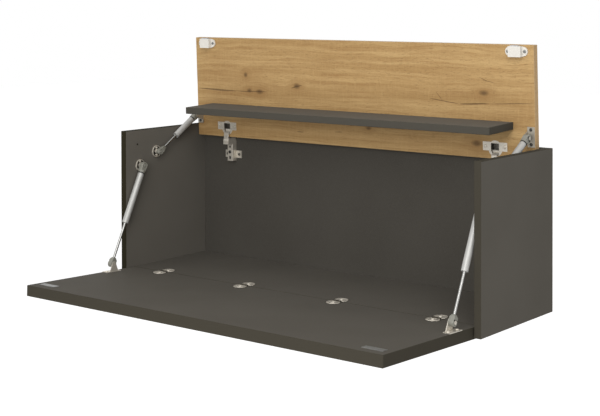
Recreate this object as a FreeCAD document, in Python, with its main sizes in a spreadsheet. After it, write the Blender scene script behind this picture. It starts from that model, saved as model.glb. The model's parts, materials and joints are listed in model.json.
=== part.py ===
# Wall desk in three moving groups: a cabinet of four boards hung on the wall, a flap that folds
# down to make the desk top, and a lid with a shelf that folds up. Gas struts guide both.
# Millimetres. X runs to the right, Y towards the wall, Z up. The origin is on the wall's face,
# midway between the round openings of the two hanger plates.
import FreeCAD, Part
import math
import os
import re
import Sketcher

SIZES = {
    # Cabinet
    "cabinet_width": 1000,  # over both side panels
    "cabinet_depth": 290,  # from the wall to the side panels' front edges
    "cabinet_height": 346,
    "board": 16,  # side, bottom, back, lid and shelf boards
    "edge_ease": 0.8,  # small bevel on every board edge
    "bottom_rise": 4,  # bottom panel's underside above the side panels' lower edges
    # Flap
    "flap_board": 24,
    "flap_side_gap": 2.5,
    "flap_joint_gap": 1,  # between the bottom panel's front edge and the flap
    "flap_end_gap": 0.5,  # between the closed flap's end and the cabinet's top
    "flap_tilt": 1.97,  # degrees that the open flap stands above level
    # Lid and shelf
    "lid_side_gap": 2.5,
    "lid_front_gap": 1.2,  # from the closed lid to the closed flap
    "lid_back_gap": 3.3,  # from the closed lid to the back panel; the lid's corner swings past it
    "lid_lean": 2.31,  # degrees that the open lid leans forward
    "lid_pivot_rise": 16.2,  # pivot above the open lid's lower edge
    "lid_pivot_sink": 5,  # pivot behind the lid's inner face
    "shelf_side_gap": 54.5,  # from the shelf's ends to the side panels
    "shelf_depth": 99,
    "shelf_top": 81.7,  # shelf's upper face above the lid's lower edge
    # Hanger plates
    "hanger_drop": 50,  # round openings below the cabinet's top
    "hanger_inset": 80,  # and in from the cabinet's sides
    "hanger_width": 32,
    "hanger_length": 60,
    "hanger_plate": 2,
    "hanger_hole_radius": 5,
    "hanger_slot_width": 5.4,
    "hanger_slot_rise": 14,
    "hanger_room_radius": 8,  # hollow behind the plate for the screw's head
    "hanger_room_depth": 11,
    # Loose tongues that join the boards
    "tongue_width": 20,  # half in each board
    "tongue_thickness": 4,
    "tongue_stop": 20,  # groove's end from the board's end
    "glue_gap": 0.05,
    # Flap hinges
    "flap_hinge_inset": 118,  # outer hinges in from the cabinet's sides
    "flap_hinge_pitch": 251,  # from there to the inner hinges
    "cup_radius": 17.5,  # bored in the board
    "cup_clearance": 0.05,
    "cup_depth": 11.5,
    "cup_setback": 14.25,  # cup's centre from the pivot
    "knuckle_size": 4.4,  # square across
    "knuckle_room": 3.6,  # slot's walls from the pivot
    "knuckle_span": 9,
    "knuckle_play": 0.3,
    "pin_radius": 1.5,
    "running_clearance": 0.05,
    # Lid hinges
    "lid_hinge_inset": 116,  # from the cabinet's sides
    "lid_cup_setback": 22.2,  # cup's centre from the lid's lower edge
    "lid_cup_wall": 1.5,
    "opening_width": 20,  # the cup's opening, narrower at the bottom
    "opening_foot": 12.6,
    "opening_rise": 11.4,  # its top above the cup's centre
    "opening_shoulder": 5,  # where its sides begin to slope, below the cup's centre
    "opening_drop": 15.1,  # its bottom below the cup's centre
    "flange_rise": 4.6,  # flange's middle above the cup's centre
    "flange_length": 60,
    "flange_width": 19,
    "flange_plate": 1.2,
    "cheek_inside": 7,
    "cheek_thickness": 5,
    "cheek_width": 8,
    "arm_end_size": 5.4,  # square across
    "neck_width": 12,
    "neck_plate": 3,
    "neck_radius": 24,  # middle of the arm's bend, round the pivot
    "neck_turn": 45,  # degrees from the arm's neck to its foot
    "arm_width": 16,
    "arm_length": 55,
    "arm_depth": 13,
    "arm_wall": 2,
    "rib_play": 0.2,
    "wing_length": 52,
    "wing_width": 18,
    "wing_plate": 2,
    "wing_drop": 61,  # below the pivot
    # Struts
    "strut_inset": 12.5,  # strut's axis in from the side panel's inner face
    "flap_anchor_back": 46.5,  # flap strut's upper pivot behind the front edges
    "flap_anchor_rise": 261,  # and above the side panels' lower edges
    "flap_foot_reach": 82,  # lower pivot along the flap from the flap's joint
    "foot_height": 18,  # bracket pivots above the board that carries them
    "lid_anchor_back": 101.5,
    "lid_anchor_rise": 289.5,
    "lid_foot_rise": 52.2,  # lid bracket's pivot above the lid's lower edge
    "tube_radius": 7.5,
    "tube_end_wall": 3,  # solid end between the eye and the bore
    "flap_tube_length": 128,
    "lid_tube_length": 71,
    "flap_rod_length": 124,
    "lid_rod_length": 77,
    "rod_radius": 3,
    "eye_radius": 8,
    "eye_width": 12,
    "eye_reach": 15,  # from the eye's centre to the tube
    # Round brackets on the side panels, and the studs of the brackets on the flap and the lid
    "rosette_radius": 14,
    "rosette_plate": 3,
    "boss_radius": 5.6,
    "stud_radius": 4,
    "stud_end": 1,  # beyond the eye
    "bracket_play": 0.3,
    # Brackets on the flap and the lid
    "foot_plate": 1.6,
    "foot_length": 43,
    "foot_width": 17,
    "ear_length": 27,
    "ear_top": 6,  # ear's top from the stud's axis
    # Magnetic catches
    "catch_side_inset": 58.5,  # catches' middles in from the cabinet's sides
    "catch_length": 53,
    "catch_wing_width": 20,
    "catch_wing": 3.5,
    "catch_body_length": 30,
    "catch_body_width": 22.5,
    "catch_body_height": 13,
    "catch_inset": 2.5,  # housing below the lid's upper edge
    "catch_gap": 0.8,  # between pole pieces and strike plate, both closed
    "pole_length": 20,
    "pole_plate": 1.2,
    "pole_spacing": 5,
    "pole_offset": 9,  # middle of the pole pieces above the lid's inner face
    "pole_depth": 16,
    "strike_length": 48,
    "strike_width": 16,
    "strike_plate": 1,
    "strike_inset": 29,  # strike's middle from the flap's end
    # Spare system hole near each side panel's upper front corner
    "spare_hole_radius": 2.5,
    "spare_hole_depth": 8,
    "spare_hole_back": 38.7,
    "spare_hole_rise": 311.8,
}

SIDES = {"left": -1, "right": 1}
TURNS = {"X": FreeCAD.Rotation(FreeCAD.Vector(0, 1, 0), 90),
         "Y": FreeCAD.Rotation(FreeCAD.Vector(1, 0, 0), -90),
         "Z": FreeCAD.Rotation()}
X_AXIS = FreeCAD.Vector(1, 0, 0)
Z_AXIS = FreeCAD.Vector(0, 0, 1)

# Turns for flat outlines
UPRIGHT = FreeCAD.Rotation(X_AXIS, 90)  # a sketch's X and Y become X and Z
SIDEWAYS = FreeCAD.Rotation(FreeCAD.Vector(1, 1, 1), 120)  # a sketch's X and Y become Y and Z

# Places that many pieces share, as formulas
INNER = "(cabinet_width / 2 - board)"  # side panels' inner faces, either side of the middle
FLOOR = "(hanger_drop - cabinet_height)"  # side panels' lower edges
BOTTOM_MIDDLE = f"({FLOOR} + bottom_rise + board / 2)"
JOINT_Y = "(flap_board - cabinet_depth)"
JOINT_Z = f"({FLOOR} + bottom_rise + board)"
BOTTOM_DEPTH = "(cabinet_depth - flap_board - flap_joint_gap / 2 - board)"
BACK_HEIGHT = "(cabinet_height - bottom_rise)"
FLAP_WIDTH = "(cabinet_width - 2 * board - 2 * flap_side_gap)"
FLAP_LENGTH = "(cabinet_height - bottom_rise - board - flap_joint_gap / 2 - flap_end_gap)"
LID_WIDTH = "(cabinet_width - 2 * board - 2 * lid_side_gap)"
LID_HEIGHT = "(cabinet_depth - board - flap_board - lid_front_gap - lid_back_gap)"
LID_BACK = "(lid_pivot_rise + lid_back_gap)"  # from the lid's pivot to the back panel's face
LID_CUP = "(lid_cup_setback - lid_pivot_rise)"  # cup's centre above the pivot
SHELF_LENGTH = f"(2 * {INNER} - 2 * shelf_side_gap)"
SHELF_MIDDLE = "(shelf_top - lid_pivot_rise - board / 2)"

# Places of the hardware on either side of the middle
HANGER_X = "(cabinet_width / 2 - hanger_inset)"
OUTER_HINGE_X = "(cabinet_width / 2 - flap_hinge_inset)"
INNER_HINGE_X = f"({OUTER_HINGE_X} - flap_hinge_pitch)"
LID_HINGE_X = "(cabinet_width / 2 - lid_hinge_inset)"
STRUT_X = f"({INNER} - strut_inset)"
CATCH_X = "(cabinet_width / 2 - catch_side_inset)"

doc = FreeCAD.newDocument("WallDesk")
sheet = doc.addObject("Spreadsheet::Sheet", "dim")
subparts = []


def fill_sheet():
    """One row of the sheet for each driving dimension."""
    for row, (alias, number) in enumerate(SIZES.items(), 1):
        sheet.set(f"A{row}", alias)
        sheet.set(f"B{row}", str(number))
        sheet.setAlias(f"B{row}", alias)
    doc.recompute()


def on_sheet(text):
    """The formula with every size's name pointing at its cell."""
    return re.sub(r"[a-z][a-z_]+", lambda word: f"dim.{word[0]}" if word[0] in SIZES else word[0], text)


def value(text):
    """The formula's number."""
    return float(sheet.evalExpression(on_sheet(text)))


def bind(thing, **formulas):
    for name, text in formulas.items():
        thing.setExpression(name, on_sheet(text))


def set_down(thing, x, y, z):
    """Ties the thing's place to three formulas."""
    for axis, text in zip("xyz", (x, y, z)):
        thing.setExpression(f"Placement.Base.{axis}", on_sheet(text))


def block(x, y, z, length, width, height):
    """A box with its middle at x, y, z."""
    solid = doc.addObject("Part::Box", "Block")
    bind(solid, Length=length, Width=width, Height=height)
    set_down(solid, f"{x} - ({length}) / 2", f"{y} - ({width}) / 2", f"{z} - ({height}) / 2")
    return solid


def bar(axis, radius, length, x, y, z):
    """A cylinder along an axis with its middle at x, y, z."""
    solid = doc.addObject("Part::Cylinder", "Bar")
    bind(solid, Radius=radius, Height=length)
    solid.Placement = FreeCAD.Placement(FreeCAD.Vector(), TURNS[axis])
    middle = {"X": x, "Y": y, "Z": z}
    middle[axis] = f"{middle[axis]} - ({length}) / 2"
    set_down(solid, middle["X"], middle["Y"], middle["Z"])
    return solid


def several(kind, name, parts):
    thing = doc.addObject(kind, name)
    setattr(thing, "Links" if kind == "Part::Compound" else "Shapes", parts)
    return thing


def joined(*parts):
    return several("Part::MultiFuse", "Joined", list(parts))


def group(parts):
    """Separate solids kept as one sub-part."""
    return several("Part::Compound", "Group", list(parts))


def cut(base, *tools):
    thing = doc.addObject("Part::Cut", "Cut")
    thing.Base = base
    thing.Tool = tools[0] if len(tools) == 1 else joined(*tools)
    return thing


def common(base, tool):
    thing = doc.addObject("Part::Common", "Common")
    thing.Base = base
    thing.Tool = tool
    return thing


def subpart(label, solid, frame=None):
    """Names a finished sub-part and puts it where its frame stands."""
    solid.Label = label
    solid.Placement = frame or FreeCAD.Placement()
    subparts.append(solid)


# Sketched bodies


def sketch_in(body):
    """An empty sketch on the body's own XY plane."""
    plane = next(f for f in body.Origin.OriginFeatures if f.Role == "XY_Plane")
    sketch = body.newObject("Sketcher::SketchObject", "Outline")
    sketch.AttachmentSupport = [(plane, "")]
    sketch.MapMode = "FlatFace"
    return sketch


def outline(sketch, corners):
    """A closed run of straight lines; each corner is a pair of formulas."""
    points = [FreeCAD.Vector(value(x), value(y), 0) for x, y in corners]
    for start, end in zip(points, points[1:] + points[:1]):
        sketch.addGeometry(Part.LineSegment(start, end), False)
    for index, corner in enumerate(corners):
        before = (index - 1) % len(corners)
        sketch.addConstraint(Sketcher.Constraint("Coincident", before, 2, index, 1))
        for kind, text in zip(("DistanceX", "DistanceY"), corner):
            number = sketch.addConstraint(Sketcher.Constraint(kind, index, 1, value(text)))
            sketch.setExpression(f"Constraints[{number}]", on_sheet(text))


def padded(corners, thickness):
    """A body of one outline, as thick as the formula says, half on each side of the sketch."""
    body = doc.addObject("PartDesign::Body", "Padded")
    sketch = sketch_in(body)
    outline(sketch, corners)
    pad = body.newObject("PartDesign::Pad", "Pad")
    pad.Profile = sketch
    pad.Midplane = True
    bind(pad, Length=thickness)
    return body


def board(length, width, thickness, x, y, z, turn=FreeCAD.Rotation()):
    """A board with every edge eased, turned and then set with its middle at x, y, z."""
    half = (f"({length}) / 2", f"({width}) / 2")
    corners = [(f"-{half[0]}", f"-{half[1]}"), (half[0], f"-{half[1]}"), half, (f"-{half[0]}", half[1])]
    body = padded(corners, thickness)
    doc.recompute()
    pad = body.Tip
    ease = body.newObject("PartDesign::Chamfer", "Eased")
    ease.Base = (pad, [f"Edge{number + 1}" for number in range(len(pad.Shape.Edges))])
    bind(ease, Size="edge_ease")
    body.Placement = FreeCAD.Placement(FreeCAD.Vector(), turn)
    set_down(body, x, y, z)
    return body


# Frames of the moving groups, at rest


def at(x, y, z, angle=0):
    """A frame at three formulas, turned about X by degrees."""
    place = FreeCAD.Vector(value(x), value(y), value(z))
    return FreeCAD.Placement(place, FreeCAD.Rotation(X_AXIS, angle))


def along(start, end):
    """A frame at start whose Z runs to end, both in the plane of Y and Z."""
    reach = end - start
    angle = math.degrees(math.atan2(reach.z, reach.y)) - 90
    return FreeCAD.Placement(start, FreeCAD.Rotation(X_AXIS, angle))


fill_sheet()
JOINT = at("0", JOINT_Y, JOINT_Z)
FLAP = at("0", JOINT_Y, JOINT_Z, -value("flap_tilt"))
LID_HINGE = at("0", f"-board - {LID_BACK}", "hanger_drop - board + lid_pivot_sink")
LID = at("0", f"-board - {LID_BACK}", "hanger_drop - board + lid_pivot_sink", value("lid_lean"))


FLAP_ANCHOR = ("flap_anchor_back - cabinet_depth", f"{FLOOR} + flap_anchor_rise")
LID_ANCHOR = ("lid_anchor_back - cabinet_depth", f"{FLOOR} + lid_anchor_rise")


# Loose tongues: thin strips glued into grooves that stop short of the boards' ends


def side_tongues(side, play="0"):
    """One strip for the bottom panel's end and one for the back panel's edge."""
    x = f"{side} * {INNER}"
    across, thick = f"tongue_width + 2 * {play}", f"tongue_thickness + 2 * {play}"
    level = block(x, f"-board - {BOTTOM_DEPTH} / 2", BOTTOM_MIDDLE, across,
                  f"{BOTTOM_DEPTH} - 2 * tongue_stop + 2 * {play}", thick)
    upright = block(x, "-board / 2", f"hanger_drop - {BACK_HEIGHT} / 2", across, thick,
                    f"{BACK_HEIGHT} - 2 * tongue_stop + 2 * {play}")
    return [level, upright]


def rear_tongue(play="0"):
    """Strip between the bottom panel and the back panel."""
    return block("0", "-board", BOTTOM_MIDDLE, f"2 * {INNER} - 2 * tongue_stop + 2 * {play}",
                 f"tongue_width + 2 * {play}", f"tongue_thickness + 2 * {play}")


def shelf_tongue(play="0"):
    return block("0", "-lid_pivot_sink", SHELF_MIDDLE, f"{SHELF_LENGTH} - 2 * tongue_stop + 2 * {play}",
                 f"tongue_width + 2 * {play}", f"tongue_thickness + 2 * {play}")


# Cabinet


def cup_pocket(x, y, z):
    """Round pocket for a hinge's cup in a face that looks up."""
    return bar("Z", "cup_radius", "cup_depth", x, y, f"{z} - cup_depth / 2")


def hinge_pair(side):
    """Places of the outer and the inner flap hinge of one side."""
    return [f"{side} * {x}" for x in (OUTER_HINGE_X, INNER_HINGE_X)]


def hinge_row():
    return [x for side in SIDES.values() for x in hinge_pair(side)]


def side_panel(name, side):
    panel = board("cabinet_depth", "cabinet_height", "board", f"{side} * ({INNER} + board / 2)",
                  "-cabinet_depth / 2", f"{FLOOR} + cabinet_height / 2", SIDEWAYS)
    spare = bar("X", "spare_hole_radius", "2 * spare_hole_depth", f"{side} * {INNER}",
                "spare_hole_back - cabinet_depth", f"{FLOOR} + spare_hole_rise")
    subpart(f"{name}_side_panel", cut(panel, spare, *side_tongues(side, "glue_gap")))


def bottom_panel():
    panel = board(f"2 * {INNER}", BOTTOM_DEPTH, "board", "0", f"-board - {BOTTOM_DEPTH} / 2", BOTTOM_MIDDLE)
    tools = [cup_pocket(x, f"{JOINT_Y} + cup_setback", JOINT_Z) for x in hinge_row()]
    tools += [side_tongues(side, "glue_gap")[0] for side in SIDES.values()]
    subpart("bottom_panel", cut(panel, rear_tongue("glue_gap"), *tools))


def hanger_room(side):
    """Let-in for a hanger plate and the hollow behind it for the wall screw's head."""
    x = f"{side} * {HANGER_X}"
    seat = block(x, "-hanger_plate / 2", "0", "hanger_width + 2 * glue_gap", "hanger_plate",
                 "hanger_length + 2 * glue_gap")
    hollow = block(x, "-hanger_room_depth / 2", "hanger_slot_rise / 2", "2 * hanger_room_radius",
                   "hanger_room_depth", "hanger_slot_rise + 2 * hanger_room_radius")
    return [seat, hollow]


def back_panel():
    panel = board(f"2 * {INNER}", BACK_HEIGHT, "board", "0", "-board / 2", f"hanger_drop - {BACK_HEIGHT} / 2",
                  UPRIGHT)
    tools = [rear_tongue("glue_gap")]
    for side in SIDES.values():
        tools += [side_tongues(side, "glue_gap")[1]] + hanger_room(side)
    subpart("back_panel", cut(panel, *tools))


def cabinet_tongues():
    strips = [rear_tongue()]
    for side in SIDES.values():
        strips += side_tongues(side)
    subpart("cabinet_tongues", group(strips))


def hanger_plates():
    """Steel plates with a keyhole: a round opening and a slot above it."""
    plates = []
    for side in SIDES.values():
        x = f"{side} * {HANGER_X}"
        plate = block(x, "-hanger_plate / 2", "0", "hanger_width", "hanger_plate", "hanger_length")
        opening = bar("Y", "hanger_hole_radius", "3 * hanger_plate", x, "0", "0")
        slot = block(x, "0", "hanger_slot_rise / 2", "hanger_slot_width", "3 * hanger_plate",
                     "hanger_slot_rise")
        end = bar("Y", "hanger_slot_width / 2", "3 * hanger_plate", x, "0", "hanger_slot_rise")
        plates.append(cut(plate, opening, slot, end))
    subpart("hanger_plates", group(plates))


# Flap and lid


def flap_panel():
    panel = board(FLAP_WIDTH, FLAP_LENGTH, "flap_board", "0", f"-(flap_joint_gap + {FLAP_LENGTH}) / 2",
                  "-flap_board / 2")
    tools = [cup_pocket(x, "-cup_setback", "0") for x in hinge_row()]
    subpart("flap_panel", cut(panel, *tools), FLAP)


def lid_panel():
    panel = board(LID_WIDTH, LID_HEIGHT, "board", "0", "board / 2 - lid_pivot_sink",
                  f"{LID_HEIGHT} / 2 - lid_pivot_rise", UPRIGHT)
    tools = [bar("Y", "cup_radius", "cup_depth", f"{side} * {LID_HINGE_X}",
                 "cup_depth / 2 - lid_pivot_sink", LID_CUP) for side in SIDES.values()]
    subpart("lid_panel", cut(panel, shelf_tongue("glue_gap"), *tools), LID)


def shelf():
    panel = board(SHELF_LENGTH, "shelf_depth", "board", "0", "-lid_pivot_sink - shelf_depth / 2",
                  SHELF_MIDDLE)
    subpart("shelf", cut(panel, shelf_tongue("glue_gap")), LID)
    subpart("shelf_tongue", group([shelf_tongue()]), LID)


# Flap hinges: a cup in each board, trimmed at the joint, with knuckles side by side on one pin


def half_cup(x, way):
    """The cup's disc up to the joint; way is +1 towards the wall and -1 towards the room."""
    disc = bar("Z", "cup_radius - cup_clearance", "cup_depth", x, f"{way} * cup_setback", "-cup_depth / 2")
    kept = block(x, f"{way} * (flap_joint_gap / 2 + cup_radius)", "-cup_depth / 2", "3 * cup_radius",
                 "2 * cup_radius", "2 * cup_depth")
    room = block(f"{x} + {way} * (knuckle_span + knuckle_play) / 2", "0", "0", "knuckle_span + knuckle_play",
                 "2 * knuckle_room", "2 * knuckle_room")
    return cut(common(disc, kept), room)


def knuckle(x, way):
    """Square knuckle that reaches from its cup over the joint."""
    middle = f"{x} - {way} * (knuckle_span + knuckle_play / 2) / 2"
    length = "knuckle_span - knuckle_play / 2"
    return block(middle, f"{way} * flap_joint_gap / 4", "0", length,
                 "knuckle_size + flap_joint_gap / 2", "knuckle_size")


def flap_hinges():
    for name, side in SIDES.items():
        base_cups, flap_cups = [], []
        for x in hinge_pair(side):
            bore = bar("X", "pin_radius + running_clearance", "2 * (knuckle_span + knuckle_play)", x, "0",
                       "0")
            base_cups.append(cut(joined(half_cup(x, 1), knuckle(x, 1)), bore))
            pin = bar("X", "pin_radius", "2 * knuckle_span", x, "0", "0")
            flap_cups.append(joined(half_cup(x, -1), knuckle(x, -1), pin))
        subpart(f"{name}_flap_hinge_base_cups", group(base_cups), JOINT)
        subpart(f"{name}_flap_hinge_flap_cups", group(flap_cups), FLAP)


# Lid hinges: a cup in the lid with the pin across it, a cranked arm and a plate on the back panel

ARM_FRONT = f"({LID_BACK} - wing_plate - arm_depth)"
ARM_TOP = "(neck_plate / 2 - neck_radius)"


def lid_hinge_cup(x):
    shell = bar("Y", "cup_radius - cup_clearance", "cup_depth", x, "cup_depth / 2 - lid_pivot_sink", LID_CUP)
    flange = block(x, "-lid_pivot_sink - flange_plate / 2", f"{LID_CUP} + flange_rise", "flange_length",
                   "flange_plate", "flange_width")
    corners = [("-opening_width / 2", "opening_rise"), ("-opening_width / 2", "-opening_shoulder"),
               ("-opening_foot / 2", "-opening_drop"), ("opening_foot / 2", "-opening_drop"),
               ("opening_width / 2", "-opening_shoulder"), ("opening_width / 2", "opening_rise")]
    hollow = padded(corners, "cup_depth - lid_cup_wall + flange_plate")
    hollow.Placement = FreeCAD.Placement(FreeCAD.Vector(), UPRIGHT)
    set_down(hollow, x, "(cup_depth - lid_cup_wall - flange_plate) / 2 - lid_pivot_sink", LID_CUP)
    cheeks = [block(f"{x} + {way} * (cheek_inside + cheek_thickness / 2)",
                    "cup_depth - lid_pivot_sink - lid_cup_wall - cheek_width / 2", "0",
                    "cheek_thickness", "cheek_width", "cheek_width") for way in (-1, 1)]
    pin = bar("X", "pin_radius", "2 * cheek_inside + cheek_thickness", x, "0", "0")
    return joined(cut(joined(shell, flange), hollow), pin, *cheeks)


def lid_hinge_arm(x):
    """Square end on the pin, straight neck, bend round the pivot and channel-shaped arm."""
    end = block(x, "0", "0", "neck_width", "arm_end_size", "arm_end_size")
    neck = block(x, "0", "-neck_radius / 2", "neck_width", "neck_plate", "neck_radius")
    outside = bar("X", "neck_radius + neck_plate / 2", "neck_width", x, "0", "0")
    bind(outside, Angle="neck_turn")
    inside = bar("X", "neck_radius - neck_plate / 2", "2 * neck_width", x, "0", "0")
    crank = joined(neck, cut(outside, inside))
    crank.Placement = FreeCAD.Placement(FreeCAD.Vector(), FreeCAD.Rotation(X_AXIS, -value("neck_turn")))
    foot = block(x, f"({ARM_FRONT} + arm_wall) / 2", f"{ARM_TOP} - neck_plate / 2", "neck_width",
                 f"{ARM_FRONT} + arm_wall", "neck_plate")
    arm = block(x, f"{ARM_FRONT} + arm_depth / 2", f"{ARM_TOP} - arm_length / 2", "arm_width", "arm_depth",
                "arm_length")
    channel = block(x, f"{ARM_FRONT} + arm_depth / 2 + arm_wall", f"{ARM_TOP} - arm_length / 2 - arm_wall",
                    "arm_width - 2 * arm_wall", "arm_depth", "arm_length")
    bore = bar("X", "pin_radius + running_clearance", "2 * neck_width", x, "0", "0")
    return cut(joined(end, crank, foot, cut(arm, channel)), bore)


def lid_hinge_plate(x):
    """Wings on the back panel, a spine under the arm and a rib inside the arm's channel."""
    wings = block(x, f"{LID_BACK} - wing_plate / 2", "-wing_drop", "wing_length", "wing_plate", "wing_width")
    spine = block(x, f"{LID_BACK} - wing_plate / 2", f"{ARM_TOP} - arm_length / 2", "arm_width", "wing_plate",
                  "arm_length")
    rib_depth = "(arm_depth - arm_wall - rib_play)"
    rib = block(x, f"{LID_BACK} - wing_plate - {rib_depth} / 2", f"{ARM_TOP} - arm_length / 2 - arm_wall",
                "arm_width - 2 * (arm_wall + rib_play)", rib_depth, "arm_length - 4 * arm_wall")
    return joined(wings, spine, rib)


def lid_hinges():
    cups = [lid_hinge_cup(f"{side} * {LID_HINGE_X}") for side in SIDES.values()]
    subpart("lid_hinge_cups", group(cups), LID)
    for name, side in SIDES.items():
        x = f"{side} * {LID_HINGE_X}"
        subpart(f"{name}_lid_hinge_arm", lid_hinge_arm(x), LID_HINGE)
        subpart(f"{name}_lid_hinge_plate", lid_hinge_plate(x), LID_HINGE)


# Strut brackets


def rosette(side, y, z):
    """Round plate on the side panel with a boss that faces the strut's eye."""
    reach = "(strut_inset - eye_width / 2 - bracket_play)"
    lengths = {"rosette_radius": "rosette_plate", "boss_radius": reach}
    return joined(*[bar("X", radius, length, f"{side} * ({INNER} - {length} / 2)", y, z)
                    for radius, length in lengths.items()])


def rosettes():
    for name, place in {"flap": FLAP_ANCHOR, "lid": LID_ANCHOR}.items():
        subpart(f"{name}_strut_rosettes", group([rosette(side, *place) for side in SIDES.values()]))


def strut_foot(side):
    """Bent bracket: a base on the board and a tapered ear with a stud for the strut's eye."""
    ear_x = f"-{side} * (eye_width / 2 + bracket_play + foot_plate / 2)"
    base = block(f"{side} * (foot_width / 2 - eye_width / 2 - bracket_play - foot_plate)", "0",
                 "foot_plate / 2 - foot_height", "foot_width", "foot_length", "foot_plate")
    corners = [("-ear_length / 2", "-foot_height"), ("ear_length / 2", "-foot_height"), ("ear_top", "0"),
               ("ear_top / 2", "ear_top"), ("-ear_top / 2", "ear_top"), ("-ear_top", "0")]
    ear = padded(corners, "foot_plate")
    ear.Placement = FreeCAD.Placement(FreeCAD.Vector(), SIDEWAYS)
    set_down(ear, ear_x, "0", "0")
    stud = bar("X", "stud_radius", "eye_width + bracket_play + foot_plate + stud_end",
               f"{side} * (stud_end - bracket_play - foot_plate) / 2", "0", "0")
    return joined(base, ear, stud)


def strut_feet():
    for name, side in SIDES.items():
        subpart(f"{name}_flap_strut_foot", strut_foot(side), FLAP * flap_pivot(side))
        subpart(f"{name}_lid_strut_foot", strut_foot(side), LID * lid_pivot(side))


# Struts. Each has an eye at the side panel's boss and an eye on its foot's stud.


def flap_pivot(side):
    return at(f"{side} * {STRUT_X}", "-flap_foot_reach", "foot_height")


def lid_pivot(side):
    return at(f"{side} * {STRUT_X}", "-lid_pivot_sink - foot_height", "lid_foot_rise - lid_pivot_rise", 90)


def eye():
    """Flat plastic end, round at the pivot and straight at the metal."""
    ring = bar("X", "eye_radius", "eye_width", "0", "0", "0")
    shank = block("0", "0", "eye_reach / 2", "eye_width", "2 * eye_radius", "eye_reach")
    return joined(ring, shank)


def bored_eye():
    """End that turns on a foot's stud."""
    return cut(eye(), bar("X", "stud_radius + running_clearance", "2 * eye_width", "0", "0", "0"))


def cylinder(length):
    """Damper body with a blind bore for the rod, from the eye's end to the mouth."""
    body = bar("Z", "tube_radius", length, "0", "0", f"eye_reach + {length} / 2")
    bore = bar("Z", "rod_radius + running_clearance", length, "0", "0",
               f"eye_reach + {length} / 2 + tube_end_wall")
    return cut(body, bore)


def rod(length):
    return group([bar("Z", "rod_radius", length, "0", "0", f"eye_reach + {length} / 2")])


def strut(name, tube_at_top, anchor, foot):
    """The four pieces between two pivots; the tube is at the upper or at the lower end."""
    down, up = along(anchor, foot), along(foot, anchor)
    tube_frame, rod_frame = (down, up) if tube_at_top else (up, down)
    which = name.split("_")[-1]
    subpart(f"{name}_strut_side_eye", eye(), down)
    subpart(f"{name}_strut_foot_eye", bored_eye(), up)
    subpart(f"{name}_strut_cylinder", cylinder(f"{which}_tube_length"), tube_frame)
    subpart(f"{name}_strut_rod", rod(f"{which}_rod_length"), rod_frame)


def struts():
    """A flap strut's tube is at the side panel and a lid strut's tube is at the lid."""
    for name, side in SIDES.items():
        x = f"{side} * {STRUT_X}"
        strut(f"{name}_flap", True, at(x, *FLAP_ANCHOR).Base, (FLAP * flap_pivot(side)).Base)
        strut(f"{name}_lid", False, at(x, *LID_ANCHOR).Base, (LID * lid_pivot(side)).Base)


# Magnetic catches and strike plates

POLE_TIP = f"(-{JOINT_Y} - board - {LID_BACK} - strike_plate - catch_gap)"
CATCH_MIDDLE = f"({LID_HEIGHT} - lid_pivot_rise - catch_inset - catch_body_width / 2)"


def pole_plates(side, play="0"):
    """Two steel plates on edge, their tips just short of the closed flap's strike plate."""
    return [block(f"{side} * {CATCH_X}", f"-lid_pivot_sink - pole_offset + {way} * pole_spacing / 2",
                  f"{POLE_TIP} - pole_depth / 2", f"pole_length + 2 * {play}", f"pole_plate + 2 * {play}",
                  f"pole_depth + 2 * {play}") for way in (-1, 1)]


def catch_housing(side):
    """Housing with round-ended wings, open at its top edge for the two pole plates."""
    x = f"{side} * {CATCH_X}"
    rise = "-lid_pivot_sink - catch_wing / 2"
    span = "(catch_length - catch_wing_width)"
    wings = block(x, rise, CATCH_MIDDLE, span, "catch_wing", "catch_wing_width")
    ends = [bar("Y", "catch_wing_width / 2", "catch_wing", f"{x} + {way} * {span} / 2", rise, CATCH_MIDDLE)
            for way in (-1, 1)]
    box = block(x, "-lid_pivot_sink - catch_body_height / 2", CATCH_MIDDLE, "catch_body_length",
                "catch_body_height", "catch_body_width")
    return cut(joined(wings, box, *ends), *pole_plates(side, "glue_gap"))


def catches():
    poles = []
    for name, side in SIDES.items():
        subpart(f"{name}_catch_housing", catch_housing(side), LID)
        poles += pole_plates(side)
        strike = block(f"{side} * {CATCH_X}", f"strike_inset - flap_joint_gap / 2 - {FLAP_LENGTH}",
                       "strike_plate / 2", "strike_length", "strike_width", "strike_plate")
        subpart(f"{name}_catch_strike", group([strike]), FLAP)
    subpart("catch_pole_plates", group(poles), LID)


for name, side in SIDES.items():
    side_panel(name, side)
bottom_panel()
back_panel()
cabinet_tongues()
hanger_plates()
flap_panel()
lid_panel()
shelf()
flap_hinges()
lid_hinges()
rosettes()
strut_feet()
struts()
catches()
doc.recompute()

for thing in doc.Objects:
    if {"Invalid", "Error"} & set(thing.State):
        raise SystemExit(f"{thing.Name} ({thing.Label}) is {thing.State}")
os.makedirs("parts", exist_ok=True)
for thing in subparts:
    if thing.Shape.isNull() or not thing.Shape.isValid():
        raise SystemExit(f"{thing.Label} has no sound shape")
    thing.Shape.exportStep(f"parts/{thing.Label}.step")
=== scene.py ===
import json
import math

import bmesh
import bpy
import numpy
from mathutils import Matrix, Vector


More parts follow.
